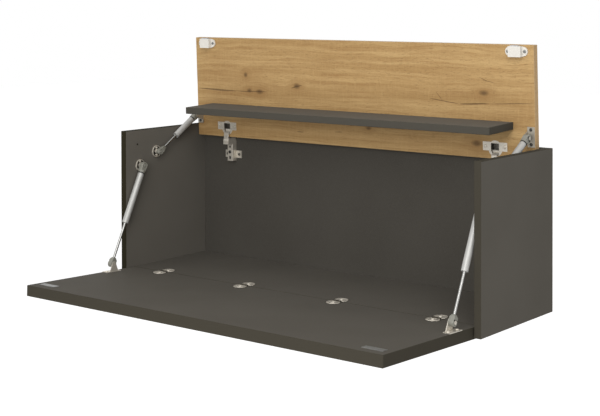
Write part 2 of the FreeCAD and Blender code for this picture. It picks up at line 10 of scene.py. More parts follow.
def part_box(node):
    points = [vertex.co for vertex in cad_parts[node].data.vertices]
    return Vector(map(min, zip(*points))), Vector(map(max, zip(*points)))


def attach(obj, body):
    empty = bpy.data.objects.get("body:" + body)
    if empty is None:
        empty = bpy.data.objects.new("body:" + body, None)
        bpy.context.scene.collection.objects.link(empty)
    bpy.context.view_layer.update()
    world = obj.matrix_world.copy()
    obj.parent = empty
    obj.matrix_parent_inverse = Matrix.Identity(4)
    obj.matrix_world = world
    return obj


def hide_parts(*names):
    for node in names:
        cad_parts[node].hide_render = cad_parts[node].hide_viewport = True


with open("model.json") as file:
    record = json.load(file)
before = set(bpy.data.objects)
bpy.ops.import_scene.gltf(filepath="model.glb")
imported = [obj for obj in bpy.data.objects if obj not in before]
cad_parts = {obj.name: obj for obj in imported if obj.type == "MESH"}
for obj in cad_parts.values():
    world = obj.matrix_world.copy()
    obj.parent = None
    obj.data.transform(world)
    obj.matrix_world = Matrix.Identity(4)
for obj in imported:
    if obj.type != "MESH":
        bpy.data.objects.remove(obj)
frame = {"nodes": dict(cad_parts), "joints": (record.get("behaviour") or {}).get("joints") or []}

nodes = frame["nodes"]
joints = {joint["name"]: joint for joint in frame["joints"]}
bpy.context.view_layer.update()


# ---------------------------------------------------------------------------------- Cabinet boards
# The sides, bottom and back are particle board faced with a dark graphite laminate. The laminate
# is pressed with a fine pearl grain, and every edge is closed by a glued strip of the same colour.
# The strips are drawn darker than the faces, as painted shade, and some boards' faces lighter or
# darker than the bottom's, as painted light and painted shade.

GRAPHITE = (0.1060, 0.0975, 0.0830, 1)
GRAPHITE_DARK = (0.0970, 0.0890, 0.0755, 1)
# Edge strips are drawn darker than the faces: painted shade. The left panel's strip, darkest,  paints
# the deep shade on its front edge.
SHADED_EDGE_STRIP = (0.0520, 0.0465, 0.0355, 1)
LEFT_SHADED_EDGE_STRIP = (0.0260, 0.0230, 0.0140, 1)
PEARL = (0.1400, 0.1300, 0.1120, 1)
LAMINATE_GLOSS = 0.012
LEFT_PAINTED_LIGHT = 1.27  # lightness of a board's faces against the bottom's: above 1 painted light, below 1 painted shade
RIGHT_PAINTED_SHADE = 0.97
BACK_PAINTED_SHADE = 0.65
BOARD_ROUNDING = 0.0003
CORNER = math.radians(50)  # a sharper edge than this is rounded


def finish(name, roughness, metallic=0.0):
    """A new material, its node tree, its shader and the coordinates of the piece that wears it."""
    made = bpy.data.materials.new(name)
    made.use_nodes = True
    tree = made.node_tree
    shader = tree.nodes["Principled BSDF"]
    shader.inputs["Roughness"].default_value = roughness
    shader.inputs["Metallic"].default_value = metallic
    place = tree.nodes.new("ShaderNodeTexCoord")
    return made, tree, shader, place.outputs["Object"]


def feed(socket, given):
    """Joins the socket to another node's output, or gives it a plain value."""
    if isinstance(given, bpy.types.NodeSocket):
        socket.id_data.links.new(given, socket)
    else:
        socket.default_value = given


def maths(tree, operation, *values):
    made = tree.nodes.new("ShaderNodeMath")
    made.operation = operation
    for socket, given in zip(made.inputs, values):
        feed(socket, given)
    return made.outputs[0]


def mix(tree, share, first, second):
    """Colour that goes from the first to the second as the share goes from 0 to 1."""
    made = tree.nodes.new("ShaderNodeMix")
    made.data_type = "RGBA"
    for label, given in (("Factor_Float", share), ("A_Color", first), ("B_Color", second)):
        feed(next(socket for socket in made.inputs if socket.identifier == label), given)
    return next(socket for socket in made.outputs if socket.identifier == "Result_Color")


def between(tree, amount, low, high, to_low=0.0, to_high=1.0):
    """The amount spread from one range to another and held at its ends."""
    made = tree.nodes.new("ShaderNodeMapRange")
    for socket, given in zip(made.inputs, (amount, low, high, to_low, to_high)):
        feed(socket, given)
    return made.outputs[0]


def noise(tree, place, scale, detail=2.0, roughness=0.5):
    made = tree.nodes.new("ShaderNodeTexNoise")
    given = {"Vector": place, "Scale": scale, "Detail": detail, "Roughness": roughness}
    for label, value in given.items():
        feed(made.inputs[label], value)
    return made.outputs[0]


def relief(tree, shader, height, depth):
    """Raises the surface by the depth where the height is 1."""
    made = tree.nodes.new("ShaderNodeBump")
    made.inputs["Distance"].default_value = depth
    feed(made.inputs["Height"], height)
    feed(shader.inputs["Normal"], made.outputs[0])


def toned(colour, lightness):
    """The colour made lighter or darker."""
    return tuple(lightness * part for part in colour[:3]) + (1,)


def on_face(tree, place, axis):
    """1 on the board's two faces, which look along the axis, and 0 on its edge strips."""
    split = tree.nodes.new("ShaderNodeSeparateXYZ")
    feed(split.inputs[0], place.node.outputs["Normal"])
    return maths(tree, "GREATER_THAN", maths(tree, "ABSOLUTE", split.outputs[axis]), 0.9)


def graphite(name, axis, lightness=1.0, strip=SHADED_EDGE_STRIP):
    """The laminate for boards whose faces look along the axis, and the colour of their edges.
    A lightness above 1 paints light onto the faces and one below 1 paints shade, and the dark
    strip paints shade onto the edges.
    """
    made, tree, shader, place = finish(name, 0.5)
    shader.inputs["Specular IOR Level"].default_value = LAMINATE_GLOSS
    cloud = noise(tree, place, 5, 3)
    pearl = noise(tree, place, 900, 3)
    dark, light = toned(GRAPHITE_DARK, lightness), toned(GRAPHITE, lightness)
    tone = mix(tree, between(tree, cloud, 0.35, 0.65), dark, light)
    specks = maths(tree, "MULTIPLY", between(tree, pearl, 0.45, 0.7), 0.22)
    flat = on_face(tree, place, axis)
    feed(shader.inputs["Base Color"], mix(tree, flat, strip, mix(tree, specks, tone, PEARL)))
    feed(shader.inputs["Roughness"], between(tree, pearl, 0.3, 0.7, 0.66, 0.54))
    relief(tree, shader, maths(tree, "MULTIPLY", pearl, flat), 0.00012)
    return made


def dress(name, material, rounding=0.0):
    """Gives a CAD node its material and rounds its sharp edges a little."""
    slots = nodes[name].data.materials
    slots.clear()
    slots.append(material)
    if rounding:
        edges = nodes[name].modifiers.new("Rounding", "BEVEL")
        edges.limit_method = "ANGLE"
        edges.angle_limit = CORNER
        edges.width = rounding
        edges.segments = 2


graphite_level = graphite("graphite_level", "Z")
dress("left_side_panel", graphite("graphite_left", "X", LEFT_PAINTED_LIGHT, LEFT_SHADED_EDGE_STRIP), BOARD_ROUNDING)
dress("right_side_panel", graphite("graphite_right", "X", RIGHT_PAINTED_SHADE), BOARD_ROUNDING)
dress("bottom_panel", graphite_level, BOARD_ROUNDING)
dress("back_panel", graphite("graphite_back", "Y", BACK_PAINTED_SHADE), BOARD_ROUNDING)


# ---------------------------------------------------------------------------------- Loose tongues
# Strips of birch plywood, glued into grooves: five join the cabinet's boards and one joins the
# shelf to the lid. None can be seen once the boards are together.

PLY_LIGHT = (0.66, 0.52, 0.34, 1)
PLY_MIDDLE = (0.52, 0.37, 0.21, 1)
PLY_DARK = (0.40, 0.27, 0.14, 1)


def stretched(tree, place, x, y, z):
    """The coordinates multiplied along each axis, so a pattern is drawn out along the smallest."""
    made = tree.nodes.new("ShaderNodeVectorMath")
    made.operation = "MULTIPLY"
    feed(made.inputs[0], place)
    feed(made.inputs[1], (x, y, z))
    return made.outputs[0]


def plywood():
    made, tree, shader, place = finish("plywood", 0.7)
    plies = noise(tree, stretched(tree, place, 40, 40, 900), 1, 2)
    fibre = noise(tree, stretched(tree, place, 30, 400, 400), 1, 3)
    tone = mix(tree, between(tree, plies, 0.4, 0.6), PLY_MIDDLE, PLY_LIGHT)
    feed(shader.inputs["Base Color"], mix(tree, between(tree, fibre, 0.5, 0.75), tone, PLY_DARK))
    relief(tree, shader, fibre, 0.0001)
    return made


birch = plywood()
dress("cabinet_tongues", birch)
dress("shelf_tongue", birch)


# ---------------------------------------------------------------------------------- Hanger plates
# Two pressed steel plates, bright zinc, let into the back of the cabinet. Each has a round opening
# and a slot above it that drops over a hook, and two cross-head screws hold it.

ZINC = (0.70, 0.72, 0.74, 1)
ZINC_DARK = (0.55, 0.57, 0.60, 1)
HANGER_X = 0.420
HANGER_SCREW_RISE = 0.02505  # above and below the plate's middle
SCREW_RADIUS = 0.0035
SCREW_HEAD = 0.0019
SCREW_ROUNDING = 0.0013
RECESS_REACH = 0.0021
RECESS_WIDTH = 0.0009
RECESS_DEPTH = 0.0013
RECESS_TAPER = (0.4, 0.8, 1)  # size of the recess's floor against its mouth
SIDES = (("left", -1), ("right", 1))
WORLD = Matrix.Identity(4)


def metal(name, colour, dark, roughness, metallic=1.0):
    """Bare or plated metal with faint clouding and fine scratches."""
    made, tree, shader, place = finish(name, roughness, metallic)
    cloud = noise(tree, place, 60, 4, 0.6)
    scratch = noise(tree, stretched(tree, place, 3000, 250, 3000), 1, 2)
    feed(shader.inputs["Base Color"], mix(tree, between(tree, cloud, 0.3, 0.75), colour, dark))
    worn = between(tree, scratch, 0.3, 0.7, roughness - 0.06, roughness + 0.08)
    feed(shader.inputs["Roughness"], worn)
    relief(tree, shader, scratch, 0.00002)
    return made


def only(piece):
    """Leaves just this piece selected and active."""
    bpy.ops.object.select_all(action="DESELECT")
    piece.select_set(True)
    bpy.context.view_layer.objects.active = piece


def pick(kind, wanted):
    """In edit mode, selects the faces or the edges that pass the test, and no others."""
    bpy.ops.mesh.select_mode(type=kind)
    mesh = bmesh.from_edit_mesh(bpy.context.object.data)
    for part in (*mesh.faces, *mesh.edges):
        part.select_set(False)
    for part in mesh.faces if kind == "FACE" else mesh.edges:
        if wanted(part):
            part.select_set(True)
    bmesh.update_edit_mesh(bpy.context.object.data)


def boolean(piece, tool, operation):
    """Cuts the tool out of the piece, or adds it, and throws the tool away."""
    only(piece)
    change = piece.modifiers.new("Change", "BOOLEAN")
    change.operation = operation
    change.solver = "EXACT"
    change.use_self = True
    change.object = tool
    bpy.ops.object.modifier_apply(modifier=change.name)
    bpy.data.objects.remove(tool)


def copy_of(pattern):
    twin = pattern.copy()
    twin.data = pattern.data.copy()
    bpy.context.scene.collection.objects.link(twin)
    return twin


def set_down(piece, name, place, body, material):
    """Moves the finished piece to its place on the open desk and makes it ride on a body."""
    piece.name = name
    piece.data.name = name
    piece.matrix_world = place @ piece.matrix_world
    only(piece)
    bpy.ops.object.transform_apply(location=True, rotation=True, scale=True)
    if not piece.data.materials:
        piece.data.materials.append(None)
    piece.data.materials[0] = material
    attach(piece, body)


def facing(frame_of, spot, looks):
    """The place of a piece that stands on a spot and looks along a direction, both in the frame."""
    turn = Vector(looks).to_track_quat("Z", "Y").to_matrix().to_4x4()
    return frame_of @ Matrix.Translation(spot) @ turn


def screw_in(name, frame_of, spot, looks, body, material, size=1.0):
    place = facing(frame_of, spot, looks) @ Matrix.Scale(size, 4)
    set_down(copy_of(screw), name, place, body, material)


bpy.ops.mesh.primitive_cylinder_add(
    vertices=32, radius=SCREW_RADIUS, depth=SCREW_HEAD, location=(0, 0, SCREW_HEAD / 2))
screw = bpy.context.object
bpy.ops.object.mode_set(mode="EDIT")
pick("EDGE", lambda edge: all(vert.co.z > 0 for vert in edge.verts))
bpy.ops.mesh.bevel(offset=SCREW_ROUNDING, segments=4, affect="EDGES")
bpy.ops.object.mode_set(mode="OBJECT")
bpy.ops.mesh.primitive_cube_add(
    size=1, location=(0, 0, SCREW_HEAD), scale=(2 * RECESS_REACH, RECESS_WIDTH, 2 * RECESS_DEPTH))
bpy.ops.object.transform_apply(location=False, rotation=False, scale=True)
recess = bpy.context.object
bpy.ops.object.mode_set(mode="EDIT")
pick("FACE", lambda face: face.normal.z < -0.5)
bpy.ops.transform.resize(value=RECESS_TAPER)
bpy.ops.object.mode_set(mode="OBJECT")
recess_across = copy_of(recess)
recess_across.rotation_euler.z = math.pi / 2
boolean(recess, recess_across, "UNION")
boolean(screw, recess, "DIFFERENCE")

zinc = metal("bright_zinc", ZINC, ZINC_DARK, 0.32)
dress("hanger_plates", zinc)
for side, way in SIDES:
    for level, rise in (("lower", -HANGER_SCREW_RISE), ("upper", HANGER_SCREW_RISE)):
        spot = (way * HANGER_X, -SCREW_HEAD, rise)  # the head is flush with the desk's back
        screw_in(f"{side}_{level}_hanger_screw", WORLD, spot, (0, 1, 0), "cabinet", zinc)


# ---------------------------------------------------------------------------------- Flap
# The flap is a thicker board in the same laminate. Folded down it is the desk top, and folded up
# it closes the front between the two side panels.

dress("flap_panel", graphite_level, BOARD_ROUNDING)


# ---------------------------------------------------------------------------------- Flap hinges
# Four twin-cup hinges in satin nickel. Each cup is pressed into its board and carries a thin
# flange with two curved openings and a screw in the middle. The flange's rim and its screw are
# drawn in a paler copy of the nickel as painted light, and the cups nearly black as painted shade.

NICKEL = (0.70, 0.65, 0.56, 1)
NICKEL_DARK = (0.58, 0.535, 0.46, 1)
PAINTED_LIT_NICKEL = (0.86, 0.80, 0.70, 1)
PAINTED_LIT_NICKEL_DARK = (0.78, 0.73, 0.64, 1)
PAINTED_SHADE_STEEL = (0.16, 0.145, 0.12, 1)
PAINTED_SHADE_STEEL_DARK = (0.12, 0.11, 0.09, 1)
CUP_ROUNDING = 0.0002
HINGES_X = (("outer", 0.382), ("inner", 0.131))
FLANGE_RADIUS = 0.0148
FLANGE_REACH = 0.01425  # from the joint to the middle of a flange
FLANGE_PLATE = 0.0010
FLANGE_RIM = 0.0016
FLANGE_SINK = 0.0004
FLANGE_STEP = (0.0005, 0.0001)  # width and depth of the step inside the sunk face's edge
FLANGE_GAP = 0.0010  # from the joint to the flange's straight side
KNUCKLE_ROOM = (0.0192, 0.0037)  # notch for the knuckles: along the joint and away from it
SLOT_INNER = 0.0079
SLOT_OUTER = 0.0103
SLOT_HALF = math.radians(52)
FLANGE_SCREW = 0.95  # size against a full one
SMOOTH = math.radians(35)  # faces that meet flatter than this are shaded as one


def paint(piece, wanted, material):
    """Gives the faces that pass the test a further material."""
    piece.data.materials.append(material)
    for face in piece.data.polygons:
        if wanted(face):
            face.material_index = len(piece.data.materials) - 1


nickel = metal("satin_nickel", NICKEL, NICKEL_DARK, 0.32, 0.5)
# A paler, less metallic copy of the nickel: painted light on the flanges and their screws.
painted_lit_nickel = metal("painted_lit_nickel", PAINTED_LIT_NICKEL, PAINTED_LIT_NICKEL_DARK, 0.4, 0.1)
# Nearly black steel: painted shade round the flap hinges' flanges and in the plate screws' countersinks.
painted_shade_steel = metal("painted_shade_steel", PAINTED_SHADE_STEEL, PAINTED_SHADE_STEEL_DARK, 0.5)

# The open flap stops a little short of level: it turns from here to upright.
flap_turn = joints["flap_hinge"]["range_deg"][1] - 90
FLAP_JOINT = Matrix.Translation(joints["flap_hinge"]["pos_m"])
FLAP = FLAP_JOINT @ Matrix.Rotation(math.radians(flap_turn), 4, "X")

middle = (0, FLANGE_REACH, 0)
bpy.ops.mesh.primitive_cylinder_add(
    vertices=64, radius=FLANGE_RADIUS, depth=FLANGE_PLATE, location=(0, FLANGE_REACH, FLANGE_PLATE / 2))
flange = bpy.context.object
bpy.ops.object.mode_set(mode="EDIT")
pick("FACE", lambda face: face.normal.z > 0.5)
for width, depth in ((FLANGE_RIM, FLANGE_SINK), FLANGE_STEP):
    bpy.ops.mesh.inset(thickness=width)
    bpy.ops.transform.translate(value=(0, 0, -depth))
bpy.ops.mesh.select_all(action="SELECT")
bpy.ops.mesh.bisect(plane_co=(0, FLANGE_GAP, 0), plane_no=(0, -1, 0), clear_outer=True, use_fill=True)
bpy.ops.object.mode_set(mode="OBJECT")
bpy.ops.mesh.primitive_cube_add(size=1, scale=(KNUCKLE_ROOM[0], 2 * KNUCKLE_ROOM[1], 10 * FLANGE_PLATE))
boolean(flange, bpy.context.object, "DIFFERENCE")
for start in (math.pi - SLOT_HALF, -SLOT_HALF):
    # A slot starts as a small upright face and is spun round the flange's middle.
    bpy.ops.mesh.primitive_plane_add(size=1, rotation=(math.pi / 2, 0, 0))
    curve = bpy.context.object
    curve.scale = (SLOT_OUTER - SLOT_INNER, 4 * FLANGE_PLATE, 1)
    curve.location = ((SLOT_INNER + SLOT_OUTER) / 2, FLANGE_REACH, 0)
    bpy.ops.object.transform_apply(location=True, rotation=True, scale=True)
    bpy.ops.object.mode_set(mode="EDIT")
    bpy.ops.mesh.select_all(action="SELECT")
    bpy.ops.transform.rotate(value=-start, orient_axis="Z", center_override=middle)
    bpy.ops.mesh.spin(steps=14, angle=2 * SLOT_HALF, center=middle, axis=(0, 0, 1))
    bpy.ops.mesh.select_all(action="SELECT")
    bpy.ops.mesh.normals_make_consistent(inside=False)
    bpy.ops.object.mode_set(mode="OBJECT")
    boolean(flange, curve, "DIFFERENCE")
bpy.ops.object.shade_smooth_by_angle(angle=SMOOTH)
flange.data.materials.append(painted_lit_nickel)
sunk = FLANGE_PLATE - FLANGE_SINK / 2
# The sunk face keeps the plain nickel, darker than the painted light on the rim.
paint(flange, lambda face: face.normal.z > 0.9 and face.center.z < sunk, nickel)

for side, way in SIDES:
    # The cups are drawn nearly black: painted shade round the flanges.
    dress(f"{side}_flap_hinge_base_cups", painted_shade_steel, CUP_ROUNDING)
    dress(f"{side}_flap_hinge_flap_cups", painted_shade_steel, CUP_ROUNDING)
    for number, offset in HINGES_X:
        hinge_at = Matrix.Translation((way * offset, 0, 0))
        rear = ("rear", FLAP_JOINT, 0, "cabinet")
        front = ("front", FLAP, math.pi, "flap")
        for half, frame_of, turned, body in (rear, front):
            name = f"{side}_{number}_{half}_flap_hinge"
            place = frame_of @ hinge_at @ Matrix.Rotation(turned, 4, "Z")
            set_down(copy_of(flange), f"{name}_flange", place, body, painted_lit_nickel)
            spot = (0, FLANGE_REACH, -FLANGE_SINK)
            screw_in(f"{name}_screw", place, spot, (0, 0, 1), body, painted_lit_nickel, FLANGE_SCREW)
bpy.data.objects.remove(flange)


# ---------------------------------------------------------------------------------- Lid and shelf
# The lid is a board faced on both sides with knotty oak, its grain running from side to side.
# The shelf is graphite, glued at right angles to the lid over its tongue.

OAK_LIGHT = (0.520, 0.345, 0.152, 1)
OAK_MIDDLE = (0.388, 0.239, 0.095, 1)
OAK_DARK = (0.290, 0.158, 0.056, 1)
OAK_PORE = (0.150, 0.075, 0.028, 1)
OAK_HEART = (0.075, 0.040, 0.018, 1)
OAK_STRIP = (0.470, 0.320, 0.170, 1)
OAK_GLOSS = 0.2
# The shelf's edge strips are drawn darker than its faces: painted shade.
SHELF_SHADED_EDGE_STRIP = (0.074, 0.068, 0.056, 1)
# The shelf's faces are drawn lighter than the bottom's: painted light.
SHELF_PAINTED_LIGHT = 1.25
LID_FOOT = 0.039  # the heights below start here

# Knots: place along the lid, height, half length and half height
KNOTS = (
    (-0.3186, 0.140, 0.0062, 0.0060),
    (-0.1583, 0.118, 0.0095, 0.0065),
    (-0.2750, 0.100, 0.0110, 0.0060),
    (-0.3080, 0.102, 0.0075, 0.0050),
    (-0.4660, 0.018, 0.0060, 0.0055),
    (0.3584, 0.124, 0.0120, 0.0060),
    (0.3380, 0.014, 0.0130, 0.0065),
    (0.0500, 0.030, 0.0080, 0.0040),
)
# Cracks in the wood's heart: from one place and height to another, and half width
CRACKS = (
    (-0.4780, 0.101, -0.3500, 0.098, 0.0017),
    (-0.3500, 0.099, -0.2500, 0.101, 0.0012),
    (-0.1750, 0.113, -0.1420, 0.121, 0.0012),
    (0.2200, 0.107, 0.2960, 0.097, 0.0009),
    (0.2960, 0.097, 0.3720, 0.101, 0.0015),
    (0.3720, 0.101, 0.4810, 0.106, 0.0008),
    (0.2350, 0.122, 0.2520, 0.104, 0.0007),
    (0.3470, 0.157, 0.3700, 0.148, 0.0006),
    (0.3560, 0.150, 0.3840, 0.147, 0.0005),
    (-0.1620, 0.009, -0.1400, 0.010, 0.0009),
    (-0.0460, 0.016, -0.0250, 0.017, 0.0008),
)


def from_knot(tree, along, up, knot):
    """How far a point is from the knot's middle: 0 at its heart and 1 at its rim."""
    centre, height, half_length, half_height = knot
    sideways = maths(tree, "DIVIDE", maths(tree, "SUBTRACT", along, centre), half_length)
    upward = maths(tree, "DIVIDE", maths(tree, "SUBTRACT", up, height + LID_FOOT), half_height)
    squares = [maths(tree, "MULTIPLY", part, part) for part in (sideways, upward)]
    return maths(tree, "SQRT", maths(tree, "ADD", *squares))


def in_crack(tree, along, up, crack):
    """1 in the crack and 0 outside it; the crack thins out towards both ends."""
    start, start_height, end, end_height, half_width = crack
    way = between(tree, along, start, end)
    line = between(tree, along, start, end, start_height + LID_FOOT, end_height + LID_FOOT)
    off = maths(tree, "ABSOLUTE", maths(tree, "SUBTRACT", up, line))
    swell = maths(tree, "SINE", maths(tree, "MULTIPLY", way, math.pi))
    width = maths(tree, "MULTIPLY", maths(tree, "POWER", swell, 0.5), half_width)
    outside = maths(tree, "MULTIPLY", width, 1.6)
    inside = maths(tree, "MULTIPLY", width, 0.4)
    return between(tree, off, outside, inside)


def oak():
    """Oak whose grain runs along X, bends round the knots and darkens at them."""
    made, tree, shader, place = finish("knotty_oak", 0.55)
    shader.inputs["Specular IOR Level"].default_value = OAK_GLOSS
    split = tree.nodes.new("ShaderNodeSeparateXYZ")
    feed(split.inputs[0], place)
    along = split.outputs["X"]
    wander = noise(tree, stretched(tree, place, 3, 1, 14), 1, 3)
    ripple = noise(tree, stretched(tree, place, 26, 1, 60), 1, 2)
    up = maths(tree, "ADD", split.outputs["Z"], between(tree, ripple, 0.25, 0.75, -0.0009, 0.0009))
    height = maths(tree, "ADD", up, between(tree, wander, 0.25, 0.75, -0.009, 0.009))
    heart, shade = 0.0, 0.0
    for knot in KNOTS:
        reach = from_knot(tree, along, up, knot)
        halo = between(tree, reach, 3.6, 0.6)
        shade = maths(tree, "MAXIMUM", shade, halo)
        heart = maths(tree, "MAXIMUM", heart, between(tree, reach, 1.25, 0.35))
        pull = maths(tree, "MULTIPLY", maths(tree, "SUBTRACT", knot[1] + LID_FOOT, height), 0.8)
        height = maths(tree, "ADD", height, maths(tree, "MULTIPLY", pull, halo))
    crack = 0.0
    for line in CRACKS:
        crack = maths(tree, "MAXIMUM", crack, in_crack(tree, along, up, line))
    joined = tree.nodes.new("ShaderNodeCombineXYZ")
    for socket, given in zip(joined.inputs, (along, split.outputs["Y"], height)):
        feed(socket, given)
    bent = joined.outputs[0]
    rings = noise(tree, stretched(tree, bent, 1.6, 3, 58), 1, 5, 0.62)
    streaks = noise(tree, stretched(tree, bent, 7, 8, 210), 1, 4, 0.6)
    fibre = noise(tree, stretched(tree, bent, 25, 60, 1100), 1, 3, 0.6)
    pores = between(tree, noise(tree, stretched(tree, bent, 90, 200, 1500), 1, 2), 0.60, 0.72)
    patches = noise(tree, stretched(tree, bent, 5, 5, 22), 1, 4, 0.6)
    flecks = noise(tree, stretched(tree, place, 260, 60, 34), 1, 3, 0.6)
    tone = mix(tree, between(tree, rings, 0.36, 0.62), OAK_LIGHT, OAK_MIDDLE)
    for share, colour in (
        (between(tree, patches, 0.50, 0.72, 0, 0.42), OAK_DARK),
        (between(tree, streaks, 0.50, 0.78, 0, 0.80), OAK_DARK),
        (between(tree, fibre, 0.42, 0.72, 0, 0.42), OAK_DARK),
        (between(tree, flecks, 0.50, 0.75, 0, 0.30), OAK_LIGHT),
        (maths(tree, "MULTIPLY", pores, 0.6), OAK_PORE),
        (maths(tree, "MULTIPLY", shade, 0.58), OAK_DARK),
        (maths(tree, "MULTIPLY", heart, 0.68), OAK_HEART),
        (maths(tree, "MULTIPLY", crack, 0.72), OAK_HEART),
    ):
        tone = mix(tree, share, tone, colour)
    strip = mix(tree, between(tree, fibre, 0.35, 0.75), OAK_STRIP, OAK_MIDDLE)
    feed(shader.inputs["Base Color"], mix(tree, on_face(tree, place, "Y"), strip, tone))
    feed(shader.inputs["Roughness"], between(tree, streaks, 0.3, 0.7, 0.5, 0.62))
    openings = maths(tree, "MAXIMUM", pores, crack)
    relief(tree, shader, maths(tree, "SUBTRACT", fibre, openings), 0.00015)
    return made


dress("lid_panel", oak(), BOARD_ROUNDING)
dress("shelf", graphite("graphite_shelf", "Z", SHELF_PAINTED_LIGHT, SHELF_SHADED_EDGE_STRIP), BOARD_ROUNDING)


# ---------------------------------------------------------------------------------- Lid hinges
# Two concealed hinges. The cup's flange is screwed to the lid, the mounting plate to the back of
# the cabinet, and a pressed steel arm joins them: a cranked link in front, the arm's body behind.

DARK_STEEL_AND_SHADE = (0.10, 0.095, 0.085, 1)
DARK_STEEL_AND_SHADE_DARK = (0.07, 0.065, 0.06, 1)
CUP_SHADE = (0.10, 0.09, 0.075, 1)
CUP_SHADE_FROM = -0.0053  # the lid's Y where the cup starts to darken
CUP_SHADE_DEPTHS = (0.0003, 0.0025)
CUP_FLANGE_ROUNDING = 0.0004
PLATE_ROUNDING = 0.0003
ARM_WIDTH = 0.0165
ARM_FRONT = -0.031
ARM_BACK = -0.0182
ARM_FOOT = -0.0385
ARM_ROUNDING = 0.0007
ELBOW_FOOT = 0.004
ELBOW_TOP = 0.0205
ELBOW_FRONT = -0.047
ELBOW_ROUNDING = 0.0085
LINK_WIDTH = 0.0145
LINK_FRONT = -0.0457
LINK_BACK = -0.0425
LINK_FOOT = 0.006
LINK_BEND = 0.032
LINK_TURN = math.radians(-25)
LINK_ROUNDING = 0.0005
LINK_KNUCKLE = 0.0034
PIN = joints["lid_hinge"]["pos_m"]
HOLE_RADIUS = 0.0029
HOLE_HEIGHT = -0.003
GROOVE_HALF = 0.0025
GROOVE_FOOT = -0.0345
GROOVE_TOP = -0.0260
GROOVE_ROUNDING = 0.0022
OPENING_DEPTH = 0.0015
ARM_SCREW_HEIGHT = -0.016
ARM_SCREW = 1.15  # sizes against a full screw
CUP_SCREW = 1.1
PLATE_SCREWS = (0.019, -0.018, -0.022)  # from the hinge's middle; the plate's face; height
CUP_SCREWS = (0.024, -0.0062, 0.0106)  # the same on the lid
HAIR = 0.0001
SHARP = 0.7  # radians


def block(low, high):
    """A cube stretched between two corners."""
    centre = [(a + b) / 2 for a, b in zip(low, high)]
    sides = [b - a for a, b in zip(low, high)]
    bpy.ops.mesh.primitive_cube_add(size=1, location=centre, scale=sides)
    bpy.ops.object.transform_apply(location=True, rotation=False, scale=True)
    return bpy.context.object


def rod_across(radius, width, spot, turned=(0, math.pi / 2, 0), vertices=32):
    """A cylinder, along X unless it is turned."""
    bpy.ops.mesh.primitive_cylinder_add(
        vertices=vertices, radius=radius, depth=width, location=spot, rotation=turned)
    bpy.ops.object.transform_apply(location=True, rotation=True, scale=False)
    return bpy.context.object


def run(edge):
    """How far an edge runs along X, Y and Z."""
    return [abs(part) for part in edge.verts[0].co - edge.verts[1].co]


def soften(width, wanted=lambda edge: True):
    """In edit mode, rounds the sharp edges that pass the test."""
    pick("EDGE", lambda edge: edge.calc_face_angle(0) > SHARP and wanted(edge))
    bpy.ops.mesh.bevel(offset=width, segments=2, affect="EDGES")


def middle_of(node):
    low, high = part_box(node)
    return (low + high) / 2


def cup_nickel():
    """Nickel with painted shade down in the cup, below the flange."""
    made = metal("cup_nickel", NICKEL, NICKEL_DARK, 0.32, 0.5)
    tree = made.node_tree
    shader = tree.nodes["Principled BSDF"]
    split = tree.nodes.new("ShaderNodeSeparateXYZ")
    place = next(node for node in tree.nodes if node.type == "TEX_COORD")
    feed(split.inputs[0], place.outputs["Object"])
    front = LID @ Vector((0, CUP_SHADE_FROM, 0))
    inward = (LID.to_3x3() @ Vector((0, 1, 0))).normalized()
    parts = [maths(tree, "MULTIPLY", split.outputs[axis], share) for axis, share in zip("YZ", inward.yz)]
    depth = maths(tree, "SUBTRACT", maths(tree, "ADD", *parts), front.dot(inward))
    deep = between(tree, depth, *CUP_SHADE_DEPTHS)
    bright = shader.inputs["Base Color"].links[0].from_socket
    feed(shader.inputs["Base Color"], mix(tree, deep, bright, CUP_SHADE))
    return made


# The open lid leans forward a little: it turns from here until it lies level.
lid_turn = 90 - joints["lid_hinge"]["range_deg"][1]
LID = Matrix.Translation(PIN) @ Matrix.Rotation(math.radians(lid_turn), 4, "X")

arm_half = ARM_WIDTH / 2
arm = block((-arm_half, ARM_FRONT, ARM_FOOT), (arm_half, ARM_BACK, ELBOW_FOOT))
bpy.ops.object.mode_set(mode="EDIT")
pick("FACE", lambda face: face.normal.z > 0.5)
upward = (0, 0, ELBOW_TOP - ELBOW_FOOT)
bpy.ops.mesh.extrude_region_move(TRANSFORM_OT_translate={"value": upward})
pick("FACE", lambda face: face.normal.y < -0.5 and face.calc_center_median().z > ELBOW_FOOT)
forward = (0, ELBOW_FRONT - ARM_FRONT, 0)
bpy.ops.mesh.extrude_region_move(TRANSFORM_OT_translate={"value": forward})
pick("EDGE", lambda edge: run(edge)[0] > arm_half and all(
    vert.co.z > ELBOW_TOP - HAIR and vert.co.y < ARM_FRONT for vert in edge.verts))
bpy.ops.mesh.bevel(offset=ELBOW_ROUNDING, segments=6, affect="EDGES")
soften(ARM_ROUNDING)
bpy.ops.object.mode_set(mode="OBJECT")

link_half = LINK_WIDTH / 2
link = block((-link_half, LINK_FRONT, LINK_FOOT), (link_half, LINK_BACK, LINK_BEND))
bpy.ops.object.mode_set(mode="EDIT")
pick("FACE", lambda face: face.normal.z > 0.5)
bpy.ops.transform.rotate(value=LINK_TURN, orient_axis="X", center_override=(0, LINK_BACK, LINK_BEND))
to_pin = (0, PIN[1] - (LINK_FRONT + LINK_BACK) / 2, PIN[2] - LINK_BEND)
bpy.ops.mesh.extrude_region_move(TRANSFORM_OT_translate={"value": to_pin})
soften(LINK_ROUNDING)
bpy.ops.object.mode_set(mode="OBJECT")
boolean(link, rod_across(LINK_KNUCKLE, LINK_WIDTH, PIN), "UNION")
boolean(arm, link, "UNION")

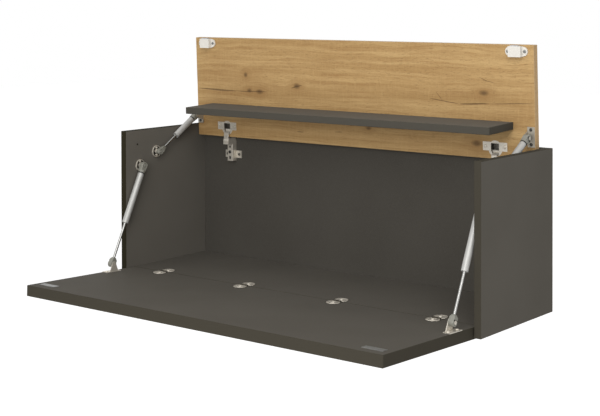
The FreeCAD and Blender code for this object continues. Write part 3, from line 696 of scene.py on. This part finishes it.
hole = rod_across(HOLE_RADIUS, 2 * OPENING_DEPTH, (0, ARM_FRONT, HOLE_HEIGHT), (math.pi / 2, 0, 0))
boolean(arm, hole, "DIFFERENCE")
groove = block((-GROOVE_HALF, ARM_FRONT - OPENING_DEPTH, GROOVE_FOOT),
               (GROOVE_HALF, ARM_FRONT + OPENING_DEPTH, GROOVE_TOP))
bpy.ops.object.mode_set(mode="EDIT")
pick("EDGE", lambda edge: run(edge)[1] > OPENING_DEPTH)
bpy.ops.mesh.bevel(offset=GROOVE_ROUNDING, segments=5, affect="EDGES")
bpy.ops.object.mode_set(mode="OBJECT")
boolean(arm, groove, "DIFFERENCE")
only(arm)
bpy.ops.object.shade_smooth_by_angle(angle=SMOOTH)
flat_faces = arm.modifiers.new("Flat faces", "WEIGHTED_NORMAL")
flat_faces.keep_sharp = True
bpy.ops.object.modifier_apply(modifier=flat_faces.name)


def in_opening(face):
    """Whether a face of the arm is inside its hole or its groove."""
    across, depth, height = face.center
    return (abs(across) < HOLE_RADIUS + HAIR
            and HAIR < depth - ARM_FRONT < OPENING_DEPTH + HAIR
            and GROOVE_FOOT - HAIR < height < 0)


# Nearly black steel for the arm's screw and the lid feet's screws; inside the arm's openings and on  the
# rosettes' sunk floors it is painted shade.
dark_steel_and_shade = metal("dark_steel_and_painted_shade", DARK_STEEL_AND_SHADE, DARK_STEEL_AND_SHADE_DARK, 0.4)
arm.data.materials.append(nickel)
# The hole and the groove are shallow and painted nearly black inside: painted shade for their depth.
paint(arm, in_opening, dark_steel_and_shade)
for side, way in SIDES:
    dress(f"{side}_lid_hinge_plate", nickel, PLATE_ROUNDING)
    hinge_x = middle_of(f"{side}_lid_hinge_plate").x
    place = Matrix.Translation((hinge_x, 0, 0))
    twin = copy_of(arm)
    set_down(twin, f"{side}_lid_hinge_pressed_arm", place, "cabinet", nickel)
    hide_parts(f"{side}_lid_hinge_arm")
    spot = (hinge_x, ARM_FRONT, ARM_SCREW_HEIGHT)
    name = f"{side}_lid_hinge_arm_screw"
    screw_in(name, WORLD, spot, (0, -1, 0), "cabinet", dark_steel_and_shade, ARM_SCREW)
    for number, outward in (("outer", way), ("inner", -way)):
        reach, front, height = PLATE_SCREWS
        spot = (hinge_x + outward * reach, front, height)
        name = f"{side}_{number}_plate_screw"
        # The plate screws are drawn nearly black: painted shade in their countersinks.
        screw_in(name, WORLD, spot, (0, -1, 0), "cabinet", painted_shade_steel)
        reach, front, height = CUP_SCREWS
        spot = (hinge_x + outward * reach, front, height)
        name = f"{side}_{number}_lid_cup_screw"
        screw_in(name, LID, spot, (0, -1, 0), "lid", nickel, CUP_SCREW)
dress("lid_hinge_cups", cup_nickel(), CUP_FLANGE_ROUNDING)
bpy.data.objects.remove(arm)


# ---------------------------------------------------------------------------------- Struts
# Four gas struts. Each has a lacquered tube and a chromed rod with a moulded plastic end on both.
# One end turns on a rosette on the side panel, the other on a steel foot on the flap or the lid.
# A nearly black ring just past each tube's collar is painted shadow of the gap there.

PLASTIC_GREY = (0.235, 0.230, 0.195, 1)
SHADOW_GAP_BLACK = (0.018, 0.017, 0.015, 1)
SILVER = (0.46, 0.455, 0.435, 1)
SILVER_DARK = (0.42, 0.415, 0.395, 1)
CHROME = (0.42, 0.415, 0.40, 1)
CHROME_DARK = (0.36, 0.355, 0.34, 1)
SHADED_NICKEL = (0.46, 0.42, 0.35, 1)
SHADED_NICKEL_DARK = (0.36, 0.33, 0.27, 1)
EYE_RADIUS = 0.008
EYE_WIDTH = 0.012
EYE_BORE = 0.0042
SLIM_RADIUS = 0.0068  # the rod ends that turn on a rosette are slimmer
SLIM_WIDTH = 0.0105
TUBE_SHANK = 0.013
ROD_SHANK = 0.0095
ROD_NECK = 0.0150
LONG_NECK = 0.0200  # on the slim ends, which stay further from their tubes
NECK_TAPER = (0.58, 0.5, 1)
SOCKET_RIM = 0.0026
SLIM_SOCKET_RIM = 0.0015
SOCKET_GROOVE = (0.0017, 0.0014)  # width and depth
SOCKET_RING = (0.0040, 0.0050)  # the middles of the groove's faces lie between these radii
MOULDED_ROUNDING = 0.0004
COLLAR = (0.0083, 0.0125, 0.0174)  # radius, and from where to where
BAND = (0.0078, 0.0174, 0.0202)
BAND_WALL = 0.0012
TUBE_ROUNDING = 0.0012
ROSETTE_RADIUS = 0.014
ROSETTE_DEPTH = 0.003
ROSETTE_RIM = 0.0018
ROSETTE_SINK = 0.0019
ROSETTE_FLOOR = 0.0066  # width of the sunk ring round the boss
BOSS_HEIGHT = 0.0051  # above the sunk ring
ROSETTE_SCREW = 0.92  # size against a full one
ROSETTE_SCREW_RISE = 0.0089
FOOT_SCREW_REACH = 0.0155  # from the foot's middle
FOOT_ROUNDING = 0.0003


def plastic(name, colour, roughness):
    made, tree, shader, place = finish(name, roughness)
    spark = noise(tree, place, 2500, 2)
    cloud = noise(tree, place, 80, 2)
    feed(shader.inputs["Base Color"], mix(tree, cloud, toned(colour, 0.93), colour))
    feed(shader.inputs["Roughness"], between(tree, spark, 0.3, 0.7, roughness - 0.05, roughness + 0.07))
    relief(tree, shader, spark, 0.00003)
    return made


def ring(radius, start, end, wall):
    """A short pipe round Z, its wall inside the radius."""
    bpy.ops.mesh.primitive_cylinder_add(
        vertices=48, radius=radius, depth=end - start, location=(0, 0, (start + end) / 2),
        end_fill_type="NOTHING")
    bpy.ops.object.transform_apply(location=True, rotation=False, scale=False)
    piece = bpy.context.object
    thick = piece.modifiers.new("Wall", "SOLIDIFY")
    thick.thickness = wall
    thick.offset = -1
    bpy.ops.object.modifier_apply(modifier=thick.name)
    bpy.ops.object.shade_smooth_by_angle(angle=SMOOTH)
    return piece


def from_axis(face):
    """How far the middle of a face is from the X axis."""
    return face.calc_center_median().yz.length


def strut_end(bored, on_tube):
    """The moulded end of a tube or a rod: it turns on the origin, about X, and points up."""
    slim = not bored and not on_tube
    radius, width = (SLIM_RADIUS, SLIM_WIDTH) if slim else (EYE_RADIUS, EYE_WIDTH)
    end = rod_across(radius, width, (0, 0, 0), vertices=48)
    bpy.ops.object.mode_set(mode="EDIT")
    pick("FACE", lambda face: abs(face.normal.x) < 0.5 and face.normal.z > 0.5)
    bpy.ops.mesh.extrude_region_move()
    shank = (0, 0, TUBE_SHANK if on_tube else ROD_SHANK)
    bpy.ops.transform.resize(value=(1, 1, 0), center_override=shank)
    if not on_tube:
        neck = (0, 0, (LONG_NECK if slim else ROD_NECK) - ROD_SHANK)
        bpy.ops.mesh.extrude_region_move(TRANSFORM_OT_translate={"value": neck})
        bpy.ops.transform.resize(value=NECK_TAPER)
    if not bored:
        # The socket is open on both sides, so a groove shows round the stud's head.
        pick("FACE", lambda face: abs(face.normal.x) > 0.9 and from_axis(face) < HAIR)
        bpy.ops.mesh.inset(thickness=SLIM_SOCKET_RIM if slim else SOCKET_RIM)
        bpy.ops.mesh.inset(thickness=SOCKET_GROOVE[0])
        low, high = SOCKET_RING
        pick("FACE", lambda face: abs(face.normal.x) > 0.9 and low < from_axis(face) < high)
        inward = {"value": -SOCKET_GROOVE[1]}
        bpy.ops.mesh.extrude_region_shrink_fatten(TRANSFORM_OT_shrink_fatten=inward)
    bpy.ops.object.mode_set(mode="OBJECT")
    if bored:
        boolean(end, rod_across(EYE_BORE, 2 * EYE_WIDTH, (0, 0, 0), vertices=48), "DIFFERENCE")
    only(end)
    bpy.ops.object.mode_set(mode="EDIT")
    soften(MOULDED_ROUNDING)
    bpy.ops.object.mode_set(mode="OBJECT")
    if on_tube:
        radius, start, stop = COLLAR
        collar = rod_across(radius, stop - start, (0, 0, (start + stop) / 2), (0, 0, 0), 48)
        boolean(end, collar, "UNION")
    only(end)
    bpy.ops.object.shade_smooth_by_angle(angle=SMOOTH)
    return end


def aimed(across, pivot, other):
    """The place of a strut's end: at the pivot, pointing to the strut's other pivot."""
    turn = math.atan2(pivot[0] - other[0], other[1] - pivot[1])
    return Matrix.Translation((across, *pivot)) @ Matrix.Rotation(turn, 4, "X")


grey_plastic = plastic("grey_plastic", PLASTIC_GREY, 0.48)
# Nearly black: painted shadow in the gap at each tube's collar.
painted_shadow_gap = plastic("painted_shadow_gap", SHADOW_GAP_BLACK, 0.6)
silver = metal("silver_lacquer", SILVER, SILVER_DARK, 0.45, 0.3)
# A darker copy of the nickel: painted shade on the lid's strut feet.
painted_shade_nickel = metal("painted_shade_nickel", SHADED_NICKEL, SHADED_NICKEL_DARK, 0.36, 0.5)
chrome = metal("chrome", CHROME, CHROME_DARK, 0.2)

# The rosette is turned from a disc: a rim, a sunk ring and the boss that the strut turns on.
bpy.ops.mesh.primitive_cylinder_add(
    vertices=64, radius=ROSETTE_RADIUS, depth=ROSETTE_DEPTH, location=(0, 0, ROSETTE_DEPTH / 2))
bpy.ops.object.transform_apply(location=True, rotation=False, scale=False)
rosette = bpy.context.object
bpy.ops.object.mode_set(mode="EDIT")
pick("FACE", lambda face: face.normal.z > 0.5)
for width, height in ((ROSETTE_RIM, -ROSETTE_SINK), (ROSETTE_FLOOR, BOSS_HEIGHT)):
    bpy.ops.mesh.inset(thickness=width)
    bpy.ops.mesh.extrude_region_move(TRANSFORM_OT_translate={"value": (0, 0, height)})
sunk = ROSETTE_DEPTH - ROSETTE_SINK + HAIR
soften(MOULDED_ROUNDING, lambda edge: edge.verts[0].co.z > sunk)
bpy.ops.object.mode_set(mode="OBJECT")
bpy.ops.object.shade_smooth_by_angle(angle=SMOOTH)
rosette.data.materials.append(nickel)
# The sunk ring's floor is painted nearly black: painted shade in the recess.
paint(rosette, lambda face: face.normal.z > 0.9 and face.center.z < sunk, dark_steel_and_shade)

kinds = ((False, False), (False, True), (True, False), (True, True))
ends = {(bored, on_tube): strut_end(bored, on_tube) for bored, on_tube in kinds}
band = ring(*BAND, BAND_WALL)
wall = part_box("right_side_panel")[0].x
floor_depth = wall - (ROSETTE_DEPTH - ROSETTE_SINK)
for side, way in SIDES:
    # group, frame that the foot stands in, middle of the foot's base there, the way that the foot
    # looks, the way that its two screws are apart, and the finish of the foot and of its screws
    for group, frame_of, base, looks, apart, foot_metal, screw_metal in (
        ("flap", FLAP, (-0.082, 0.0016), (0, 0, 1), (1, 0), nickel, nickel),
        ("lid", LID, (-0.0066, 0.036), (0, -1, 0), (0, 1), painted_shade_nickel, dark_steel_and_shade),
    ):
        name = f"{side}_{group}_strut"
        plane, *foot = joints[f"{name}_pivot"]["pos_m"]
        anchor = tuple(middle_of(f"{group}_strut_rosettes").yz)
        tube_at_anchor = group == "flap"
        at_side, at_foot = (False, anchor, foot, "side_eye"), (True, foot, anchor, "foot_eye")
        for bored, pivot, other, node in (at_side, at_foot):
            on_tube = tube_at_anchor != bored
            body = f"{name}_tube" if on_tube else f"{name}_piston"
            place = aimed(plane, pivot, other)
            end = copy_of(ends[bored, on_tube])
            set_down(end, f"{name}_moulded_{node}", place, body, grey_plastic)
            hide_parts(f"{name}_{node}")
            if on_tube:
                # A nearly black ring past the collar: painted shadow of the gap where the tube leaves
                # it.
                set_down(copy_of(band), f"{name}_band", place, body, painted_shadow_gap)
        dress(f"{name}_cylinder", silver, TUBE_ROUNDING)
        dress(f"{name}_rod", chrome)
        dress(f"{name}_foot", foot_metal, FOOT_ROUNDING)
        place = facing(WORLD, (way * wall, *anchor), (-way, 0, 0))
        disc = copy_of(rosette)
        set_down(disc, f"{name}_rosette", place, "cabinet", nickel)
        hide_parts(f"{group}_strut_rosettes")
        for level, rise in (("upper", ROSETTE_SCREW_RISE), ("lower", -ROSETTE_SCREW_RISE)):
            spot = (way * floor_depth, anchor[0], anchor[1] + rise)
            screw_name = f"{name}_rosette_{level}_screw"
            screw_in(screw_name, WORLD, spot, (-way, 0, 0), "cabinet", nickel, ROSETTE_SCREW)
        for level, shift in (("first", -FOOT_SCREW_REACH), ("second", FOOT_SCREW_REACH)):
            across = middle_of(f"{name}_foot").x
            spot = (across, base[0] + shift * apart[0], base[1] + shift * apart[1])
            screw_in(f"{name}_foot_{level}_screw", frame_of, spot, looks, group, screw_metal)
for pattern in (*ends.values(), band, rosette):
    bpy.data.objects.remove(pattern)


# ---------------------------------------------------------------------------------- Catches
# Two white plastic catches on the lid hold the closed flap by the steel strikes near its front.
# Each is moulded in one piece and held by a screw through either end.

WHITE_PLASTIC = (0.72, 0.69, 0.63, 1)
DULL_STEEL = (0.26, 0.26, 0.25, 1)
DULL_STEEL_DARK = (0.21, 0.21, 0.20, 1)
HOUSING_ROUNDING = 0.0012
STRIKE_ROUNDING = 0.0003
CATCH_SCREWS = (0.0205, -0.0085, 0.21555)  # from the catch's middle; its flange's face; height

white_plastic = plastic("white_plastic", WHITE_PLASTIC, 0.38)
dull_steel = metal("dull_steel", DULL_STEEL, DULL_STEEL_DARK, 0.42, 0.5)
for side, way in SIDES:
    dress(f"{side}_catch_housing", white_plastic, HOUSING_ROUNDING)
    dress(f"{side}_catch_strike", dull_steel, STRIKE_ROUNDING)
    catch_x = middle_of(f"{side}_catch_housing").x
    for number, outward in (("outer", way), ("inner", -way)):
        reach, front, height = CATCH_SCREWS
        spot = (catch_x + outward * reach, front, height)
        screw_in(f"{side}_{number}_catch_screw", LID, spot, (0, -1, 0), "lid", dull_steel)
dress("catch_pole_plates", zinc)
bpy.data.objects.remove(screw)


# ---------------------------------------------------------------------------------- Studio
# A plain pale floor in a white room. A broad soft light hangs high at the front right, and a
# smaller one stands low in front.

FLOOR_SIZE = 30
FLOOR_HEIGHT = -1.05
FLOOR_PALE = (0.95, 0.95, 0.95, 1)
FLOOR_SHADE = (0.93, 0.93, 0.93, 1)
FLOOR_GLOW = 0.45
ROOM_LIGHT = 0.58
ROOM_SEEN = 1.0  # white, as the camera and reflections see it
DESK_MIDDLE = (0, -0.2, -0.1)

bpy.ops.mesh.primitive_plane_add(size=FLOOR_SIZE, location=(0, 0, FLOOR_HEIGHT))
floor = bpy.context.object
floor.name = "floor"
paper, tree, shader, place = finish("floor_paper", 0.8)
feed(shader.inputs["Base Color"], mix(tree, noise(tree, place, 3, 2), FLOOR_SHADE, FLOOR_PALE))
seen = tree.nodes.new("ShaderNodeLightPath").outputs["Is Camera Ray"]
shader.inputs["Emission Color"].default_value = (1, 1, 1, 1)
feed(shader.inputs["Emission Strength"], maths(tree, "MULTIPLY", seen, FLOOR_GLOW))
floor.data.materials.append(paper)

world = bpy.data.worlds.new("room")
world.use_nodes = True
bpy.context.scene.world = world
tree = world.node_tree
background = tree.nodes["Background"]
rays = tree.nodes.new("ShaderNodeLightPath")
seen = maths(tree, "MAXIMUM", rays.outputs["Is Camera Ray"], rays.outputs["Is Glossy Ray"])
feed(background.inputs["Strength"], between(tree, seen, 0, 1, ROOM_LIGHT, ROOM_SEEN))
background.inputs["Color"].default_value = (1, 1, 1, 1)


def soft_light(name, spot, size, power):
    """A square lamp that looks at the desk."""
    bpy.ops.object.light_add(type="AREA", location=spot)
    lamp = bpy.context.object
    lamp.name = name
    lamp.data.size = size
    lamp.data.energy = power
    towards = Vector(DESK_MIDDLE) - Vector(spot)
    lamp.rotation_euler = towards.to_track_quat("-Z", "Y").to_euler()


soft_light("key_light", (1.7, -2.3, 2.3), 2.2, 48)
soft_light("front_light", (0.7, -3.0, 0.5), 1.5, 36)

# The camera looks almost level, and the desk is in the lower part of what it sees, which keeps
# upright edges upright. Its stand is stretched and turned so as to shear the camera by that much,
# because a shift in the lens would also push every other view out of centre.
CAMERA_SPOT = (1.8579, -2.5233, 0.3699)
YAW = math.radians(37.399)
PITCH = math.radians(0.961)
ROLL = math.radians(-0.0975)
LENS = 80.73
SHIFT_X = -0.0621  # in widths of the picture
SHIFT_Y = -0.3148
SENSOR = 36
aim = Matrix.Rotation(YAW, 3, "Z") @ Matrix.Rotation(math.pi / 2 - PITCH, 3, "X")
aim = aim @ Matrix.Rotation(ROLL, 3, "Z")
shear = numpy.array(((1, 0, -SHIFT_X * SENSOR / LENS), (0, 1, -SHIFT_Y * SENSOR / LENS), (0, 0, 1)))
outer, stretch, inner = numpy.linalg.svd(shear)
if numpy.linalg.det(outer) < 0:
    outer[:, 2] *= -1
    inner[2] *= -1
bpy.ops.object.empty_add(location=CAMERA_SPOT)
stand = bpy.context.object
stand.name = "camera_stand"
stand.rotation_euler = (aim @ Matrix(outer.tolist())).to_euler()
stand.scale = stretch.tolist()
bpy.ops.object.camera_add(location=(0, 0, 0))
camera = bpy.context.object
camera.parent = stand
camera.rotation_euler = Matrix(inner.tolist()).to_euler()
camera.data.sensor_width = SENSOR
camera.data.lens = LENS * float(numpy.linalg.norm(shear[:, 2]))
bpy.context.scene.camera = camera
bpy.context.scene.view_settings.view_transform = "Standard"
